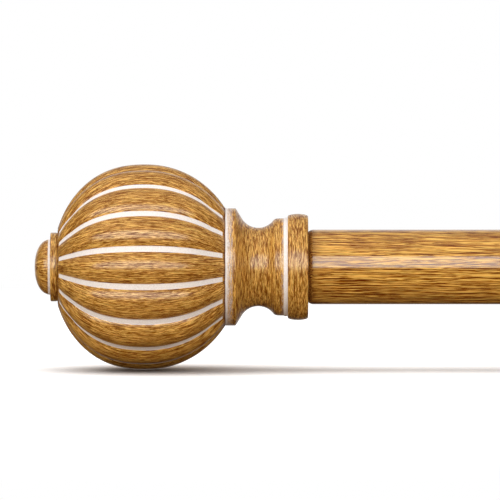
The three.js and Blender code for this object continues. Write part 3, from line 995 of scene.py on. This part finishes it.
def strip_section(width, thickness, rounding):
    """Corners of a flat strip's section, rounded: pairs of width and thickness places."""
    points = []
    for corner in range(4):
        x = (1, -1, -1, 1)[corner] * (width / 2 - rounding)
        y = (1, 1, -1, -1)[corner] * (thickness / 2 - rounding)
        for t in np.linspace(0, math.pi / 2, 5):
            angle = corner * math.pi / 2 + t
            points.append((x + rounding * math.cos(angle), y + rounding * math.sin(angle)))
    return np.array(points)


def grain_along_the_strip(mesh):
    """Grain that follows the cradle's strip round the rod and up both sides."""
    points = points_of(mesh) - np.array([PROJECTION, 0, 0])
    below = np.minimum(points[:, 2], 0)
    travel = np.arctan2(points[:, 0], -below) * (CRADLE_INNER + STRIP / 2)
    travel += np.copysign(np.maximum(points[:, 2], 0), points[:, 0])
    through = np.hypot(points[:, 0], below)
    along, across = FINIAL_STREAK
    return np.column_stack([travel / along, points[:, 1] / across, through / across])


def cradle():
    """A U of flat strip about the rod, with the boss for the rod's lock screw and the arm's screw hole."""
    middle = CRADLE_INNER + STRIP / 2
    path = [(-middle, z, 180.0) for z in np.linspace(CRADLE_BACK_TOP, 0, 6)]
    for angle in np.linspace(-math.pi, 0, 40)[1:-1]:
        path.append((middle * math.cos(angle), middle * math.sin(angle), math.degrees(angle)))
    path += [(middle, z, 0.0) for z in np.linspace(0, CRADLE_LIP_TOP, 5)]
    section = strip_section(CRADLE_WIDTH, STRIP, rounding=0.6)

    def section_at(x, z, heading, shrink, lift):
        out = np.array([math.cos(math.radians(heading)), math.sin(math.radians(heading))])
        points = []
        for across, through in section:
            across -= math.copysign(min(abs(across), shrink), across)
            through -= math.copysign(min(abs(through), shrink), through)
            points.append((x + out[0] * through, across, z + out[1] * through + lift))
        return np.array(points)

    rounded_tip = [(0.75, 0.0), (0.35, -0.1), (0.1, -0.35), (0.0, -0.75)]
    rings = [section_at(*path[0], shrink, lift) for shrink, lift in rounded_tip]
    rings += [section_at(*point, 0, 0) for point in path[1:-1]]
    rings += [section_at(*path[-1], shrink, lift) for shrink, lift in reversed(rounded_tip)]
    ends = [rings[0].mean(0)[None], rings[-1].mean(0)[None]]
    strip = loft([ends[0], *rings, ends[1]])

    outer = CRADLE_INNER + STRIP
    boss_end = outer + CRADLE_BOSS_DROP
    boss = outline(
        (outer - 1, 0),
        (outer - 1, CRADLE_BOSS_RADIUS + 0.6),
        (outer + 0.5, CRADLE_BOSS_RADIUS, 0.5),
        (boss_end, CRADLE_BOSS_RADIUS, 0.5),
        (boss_end, 0),
    )
    boss = moved(loft(turned(boss, 64)), DOWN)
    hole = moved(bar(CRADLE_INNER - 2, boss_end + 1, CRADLE_LOCK_HOLE, 48), DOWN)
    sink_radius = CRADLE_SCREW["head"] + 0.8
    sink = [(-outer - 1, 0), (-outer - 1, ARM_BORE), (-CRADLE_INNER - 1.9, ARM_BORE)]
    sink += [(-CRADLE_INNER + 0.2, sink_radius), (-CRADLE_INNER + 2, sink_radius), (-CRADLE_INNER + 2, 0)]
    sink = loft(turned(sink, 48))
    joined = combined(strip, "UNION", boss)
    return moved(combined(joined, "DIFFERENCE", hole, sink), Matrix.Translation((PROJECTION, 0, 0)))


def knurled(start, end, count, depth):
    """A reshape that cuts so many ridges along a head between two places."""

    def reshape(along, radius, angles):
        share = np.clip(min(along - start, end - along) / 0.5, 0, 1)
        return radius - depth * share * np.abs(np.sin(angles * count / 2))

    return reshape


def lock_screw(tip, radius, head_top, head_radius, head_height):
    """A thumbscrew that points up: threaded shank, neck and a knurled, dished head."""
    bottom = head_top + head_height
    thread = threaded(tip, head_top - 0.3, LOCK_PITCH, depth=0.4, fade=0.6)
    knurl = knurled(head_top + 0.7, bottom - 0.7, count=30, depth=0.3)

    def reshape(along, r, angles):
        if along < head_top - 0.05:
            return thread(along, r, angles)
        return knurl(along, r, angles) if r > head_radius - 0.05 else r + 0 * angles

    rows = thread_rows(tip + 0.5, head_top - 0.1, LOCK_PITCH, lambda along: radius)
    head = [(head_top + 0.6, head_radius), (head_top + 0.75, head_radius)]
    head += [(along, head_radius) for along in np.linspace(head_top + 1.3, bottom - 1.3, 4)]
    head += [(bottom - 0.75, head_radius), (bottom - 0.6, head_radius)]
    path = [(tip, 0), (tip, radius - 0.5), *rows, (head_top, radius), (head_top, head_radius - 0.6), *head]
    path += [(bottom, head_radius - 0.6), (bottom, head_radius - 1.2), (bottom - 0.5, head_radius - 1.7)]
    path += [(bottom - 0.5, 0)]
    return moved(loft(turned(path, 120, reshape)), DOWN)


def make_bracket(side, where):
    show(f"{side}_wall_plate", wall_plate(), where, zinc)
    for index in range(WALL_SCREWS):
        here = where @ screw_place(index)
        screw = countersunk(PLATE_THICKNESS - 0.1, WALL_SCREW_LENGTH, WALL_SCREW_RADIUS, WALL_SCREW_HEAD,
                            WALL_SCREW_PITCH, WALL_SCREW_POINT)
        show(f"{side}_wall_screw_{index + 1}", screw, here, zinc)
        show(f"{side}_wall_anchor_{index + 1}", anchor(), here, nylon)
    skin = lengthwise(FINIAL_STREAK)
    show(f"{side}_arm_socket", arm_socket(), where, bracket_wood, skin)
    show(f"{side}_cover", cover(), where, finial_wood, round_the_axis(FINIAL_STREAK),
         painted(COVER_PAINT, COVER_RADIUS - 3, COVER_RADIUS - 0.9))
    show(f"{side}_arm", arm(), where, bracket_wood, skin)
    show(f"{side}_cradle", cradle(), where, bracket_wood, grain_along_the_strip)
    screw = countersunk(PROJECTION - CRADLE_INNER - GAP, **CRADLE_SCREW)
    show(f"{side}_cradle_screw", screw, where, zinc)
    below_rod = where @ Matrix.Translation((PROJECTION, 0, 0))
    show(f"{side}_rod_lock_screw", lock_screw(CRADLE_INNER, **ROD_LOCK), below_rod, antique_brass)
    below_arm = where @ Matrix.Translation((ARM_LOCK_ALONG, 0, 0))
    show(f"{side}_arm_lock_screw", lock_screw(ARM_RADIUS + GAP, **ARM_LOCK), below_arm, antique_brass)


# ---------------------------------------------------------------- studio


def make_floor():
    """A white floor just under the finials, with a painted contact shadow near what touches it, and pure
    white far away.

    Reflections pass it by, and little light bounces off it.
    """
    made = Finish("studio_floor")
    path = made.node("ShaderNodeLightPath")
    # Painted contact shadow: an ambient occlusion node darkens the colour the eye sees where the object is
    # close above the floor.
    open_sky = made.node("ShaderNodeAmbientOcclusion", {"Distance": 0.04}).outputs["AO"]
    contact_shadow = made.ramp(open_sky, (0.0, (0.5, 0.5, 0.5)), (0.75, (1.5, 1.5, 1.5)))
    seen = made.mix(path.outputs["Is Camera Ray"], (0.5, 0.42, 0.34, 1), contact_shadow)
    lit = made.node("ShaderNodeBsdfDiffuse", {"Color": seen})
    white = made.node("ShaderNodeEmission")
    spot = made.node("ShaderNodeTexCoord").outputs["Object"]
    flat = made.vector("MULTIPLY", spot, (1, 1, 0))
    away = made.node("ShaderNodeVectorMath", {0: flat}, operation="LENGTH")
    far = made.steps(away.outputs["Value"], 0.25, 0.6)
    far = made.math("MULTIPLY", far, path.outputs["Is Camera Ray"])
    surface = made.node("ShaderNodeMixShader", {0: far, 1: lit.outputs[0], 2: white.outputs[0]})
    made.tree.links.new(surface.outputs[0], made.tree.nodes["Material Output"].inputs["Surface"])
    half = 8.0
    clearance = 0.0004
    mesh = bpy.data.meshes.new("floor")
    corners = [(-half, -half, 0), (half, -half, 0), (half, half, 0), (-half, half, 0)]
    mesh.from_pydata(corners, [], [(0, 1, 2, 3)])
    mesh.materials.append(made.material)
    floor = bpy.data.objects.new("floor", mesh)
    low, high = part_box("left_finial_ball")
    floor.location = ((low.x + high.x) / 2, rod_axis.y, low.z - clearance)
    floor.visible_glossy = False
    bpy.context.scene.collection.objects.link(floor)
    return floor


def make_world():
    """White to the eye. Reflections find it white only behind the object, and dim everywhere else."""
    world = bpy.data.worlds.new("studio")
    bpy.context.scene.world = world
    world.use_nodes = True
    made = Nodes(world.node_tree)
    path = made.node("ShaderNodeLightPath")
    way = made.node("ShaderNodeTexCoord").outputs["Generated"]
    behind = made.node("ShaderNodeVectorMath", {0: way, 1: (0, 0.99, 0.14)}, operation="DOT_PRODUCT")
    height = made.node("ShaderNodeSeparateXYZ", {"Vector": way}).outputs["Z"]
    above = made.steps(height, 0.2, 0.9, to_high=0.2)
    mirrored = made.steps(behind.outputs["Value"], 0.78, 1.0)

    def either(factor, first, second):
        return made.node("ShaderNodeMix", {"Factor": factor, "A": first, "B": second}).outputs[0]

    glossy = either(path.outputs["Is Glossy Ray"], 0.65, either(mirrored, above, 0.75))
    strength = either(path.outputs["Is Camera Ray"], glossy, 1.0)
    background = made.tree.nodes["Background"]
    background.inputs["Color"].default_value = (1, 1, 1, 1)
    made.tree.links.new(strength, background.inputs["Strength"])


def softbox(name, centre, target, size, power, color=(1, 1, 1), seen_in_gloss=False):
    lamp = bpy.data.lights.new(name, "AREA")
    lamp.shape = "RECTANGLE"
    lamp.size, lamp.size_y = size
    lamp.energy, lamp.color = power, color
    light = bpy.data.objects.new(name, lamp)
    light.location = centre
    light.rotation_euler = (Vector(target) - Vector(centre)).to_track_quat("-Z", "Y").to_euler()
    light.visible_camera = False
    light.visible_glossy = seen_in_gloss
    bpy.context.scene.collection.objects.link(light)
    return light


def make_camera():
    """A long lens, nearly level, on the left finial and the first stretch of the rod."""
    width = 0.1699  # how much of the scene the picture takes in, in metres
    elevation = math.radians(2.5)
    camera_data = bpy.data.cameras.new("camera")
    camera_data.lens, camera_data.sensor_width = 800.0, 36.0
    camera = bpy.data.objects.new("camera", camera_data)
    bpy.context.scene.collection.objects.link(camera)
    # The picture's middle lies this far past the tube's end and above the axis.
    middle = Vector((tube_low.x - 0.0198, rod_axis.y, rod_axis.z + 0.00577))
    back = Vector((0, -math.cos(elevation), math.sin(elevation)))
    distance = camera_data.lens / camera_data.sensor_width * width
    camera.location = middle + back * distance
    camera.rotation_euler = (-back).to_track_quat("-Z", "Y").to_euler()
    camera_data.clip_end = 100
    bpy.context.scene.camera = camera


def make_lights(floor):
    """Softboxes: front for highlights, top for the shadow, and weak ones low in front and behind."""
    aim = (tube_low.x - 0.05, rod_axis.y, 0)
    x, y, _ = aim
    front = softbox(
        "front", (x - 0.2, y - 1.5, 0.5), aim,
        size=(5.0, 1.02), power=35, color=(0.98, 0.99, 0.95), seen_in_gloss=True,
    )
    fill = softbox("fill", (x, y - 1.5, -0.25), aim, size=(2.0, 0.8), power=1.5, color=(1, 0.8, 0.6))
    softbox("top", (x - 0.5, y + 0.05, 1.5), aim, size=(1.5, 1.6), power=9.5)
    back = softbox("back", (x + 0.2, y + 1.5, 0), aim, size=(3.0, 0.9), power=12, color=(1, 0.97, 0.92))
    spared = bpy.data.collections.new("spared")
    spared.objects.link(floor)
    spared.collection_objects[0].light_linking.link_state = "EXCLUDE"
    for light in (front, fill, back):
        light.light_linking.receiver_collection = spared
    for light in (fill, back):
        light.light_linking.blocker_collection = spared


make_rod()
make_finial("left", place(tube_low.x, rod_axis.y, rod_axis.z, 180), OUTER_RADIUS)
make_finial("right", place(inner_high.x, rod_axis.y, rod_axis.z), INNER_RADIUS)
for bracket_side in ("left", "right"):
    low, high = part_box(f"{bracket_side}_wall_plate")
    make_bracket(bracket_side, place((low.x + high.x) / 2, 0, 0, -90))
make_world()
make_camera()
make_lights(make_floor())
bpy.context.scene.view_settings.view_transform = "Standard"
